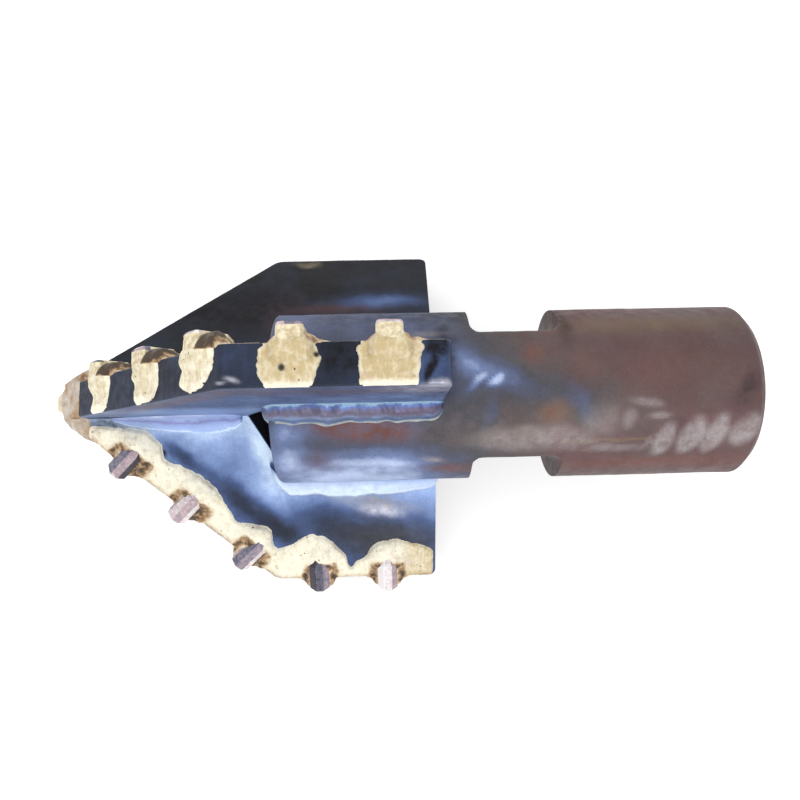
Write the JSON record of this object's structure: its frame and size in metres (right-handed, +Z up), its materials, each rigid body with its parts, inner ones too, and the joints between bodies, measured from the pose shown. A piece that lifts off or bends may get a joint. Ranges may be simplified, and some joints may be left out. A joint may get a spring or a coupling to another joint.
{
  "type": "drag drill bit",
  "caption": "Welded three-wing drag drill bit with a conical nose, brazed carbide teeth along each wing's edge, a bored shank with wrench flats and a threaded socket.",
  "frame": {"origin": "on the surface that the bit lies on, under the middle of its bounding box", "axes": "+X along the drilling axis from the nose to the shank's shoulder, +Z up, the first wing up with its two neighbours resting on the surface"},
  "size_m": [0.358, 0.2026, 0.1873],
  "materials": {
    "shank_steel": "mill scale and rust, rubbed bright in places",
    "wing_steel": "heat-blued by welding, dark oxide on the edges",
    "weld_metal": "bright to heat-blued weld bead",
    "carbide": "sintered, matt",
    "braze": "as-cast, pale and pitted"
  },
  "bodies": {
    "root": {"shank_body": "shank_steel", "wing_1": "wing_steel", "wing_2": "wing_steel", "wing_3": "wing_steel", "wing_weld_1_leading": "weld_metal", "wing_weld_1_trailing": "weld_metal", "wing_weld_2_leading": "weld_metal", "wing_weld_2_trailing": "weld_metal", "wing_weld_3_leading": "weld_metal", "wing_weld_3_trailing": "weld_metal", "groove_weld_1": "weld_metal", "groove_weld_2": "weld_metal", "groove_weld_3": "weld_metal", "nose_insert": "carbide", "nose_braze": "braze", "tooth_1_1": "carbide", "tooth_1_2": "carbide", "tooth_1_3": "carbide", "tooth_1_4": "carbide", "tooth_1_5": "carbide", "tooth_2_1": "carbide", "tooth_2_2": "carbide", "tooth_2_3": "carbide", "tooth_2_4": "carbide", "tooth_2_5": "carbide", "tooth_3_1": "carbide", "tooth_3_2": "carbide", "tooth_3_3": "carbide", "tooth_3_4": "carbide", "tooth_3_5": "carbide", "braze_1_1": "braze", "braze_1_2": "braze", "braze_1_3": "braze", "braze_1_4": "braze", "braze_1_5": "braze", "braze_2_1": "braze", "braze_2_2": "braze", "braze_2_3": "braze", "braze_2_4": "braze", "braze_2_5": "braze", "braze_3_1": "braze", "braze_3_2": "braze", "braze_3_3": "braze", "braze_3_4": "braze", "braze_3_5": "braze"}
  },
  "joints": []
}
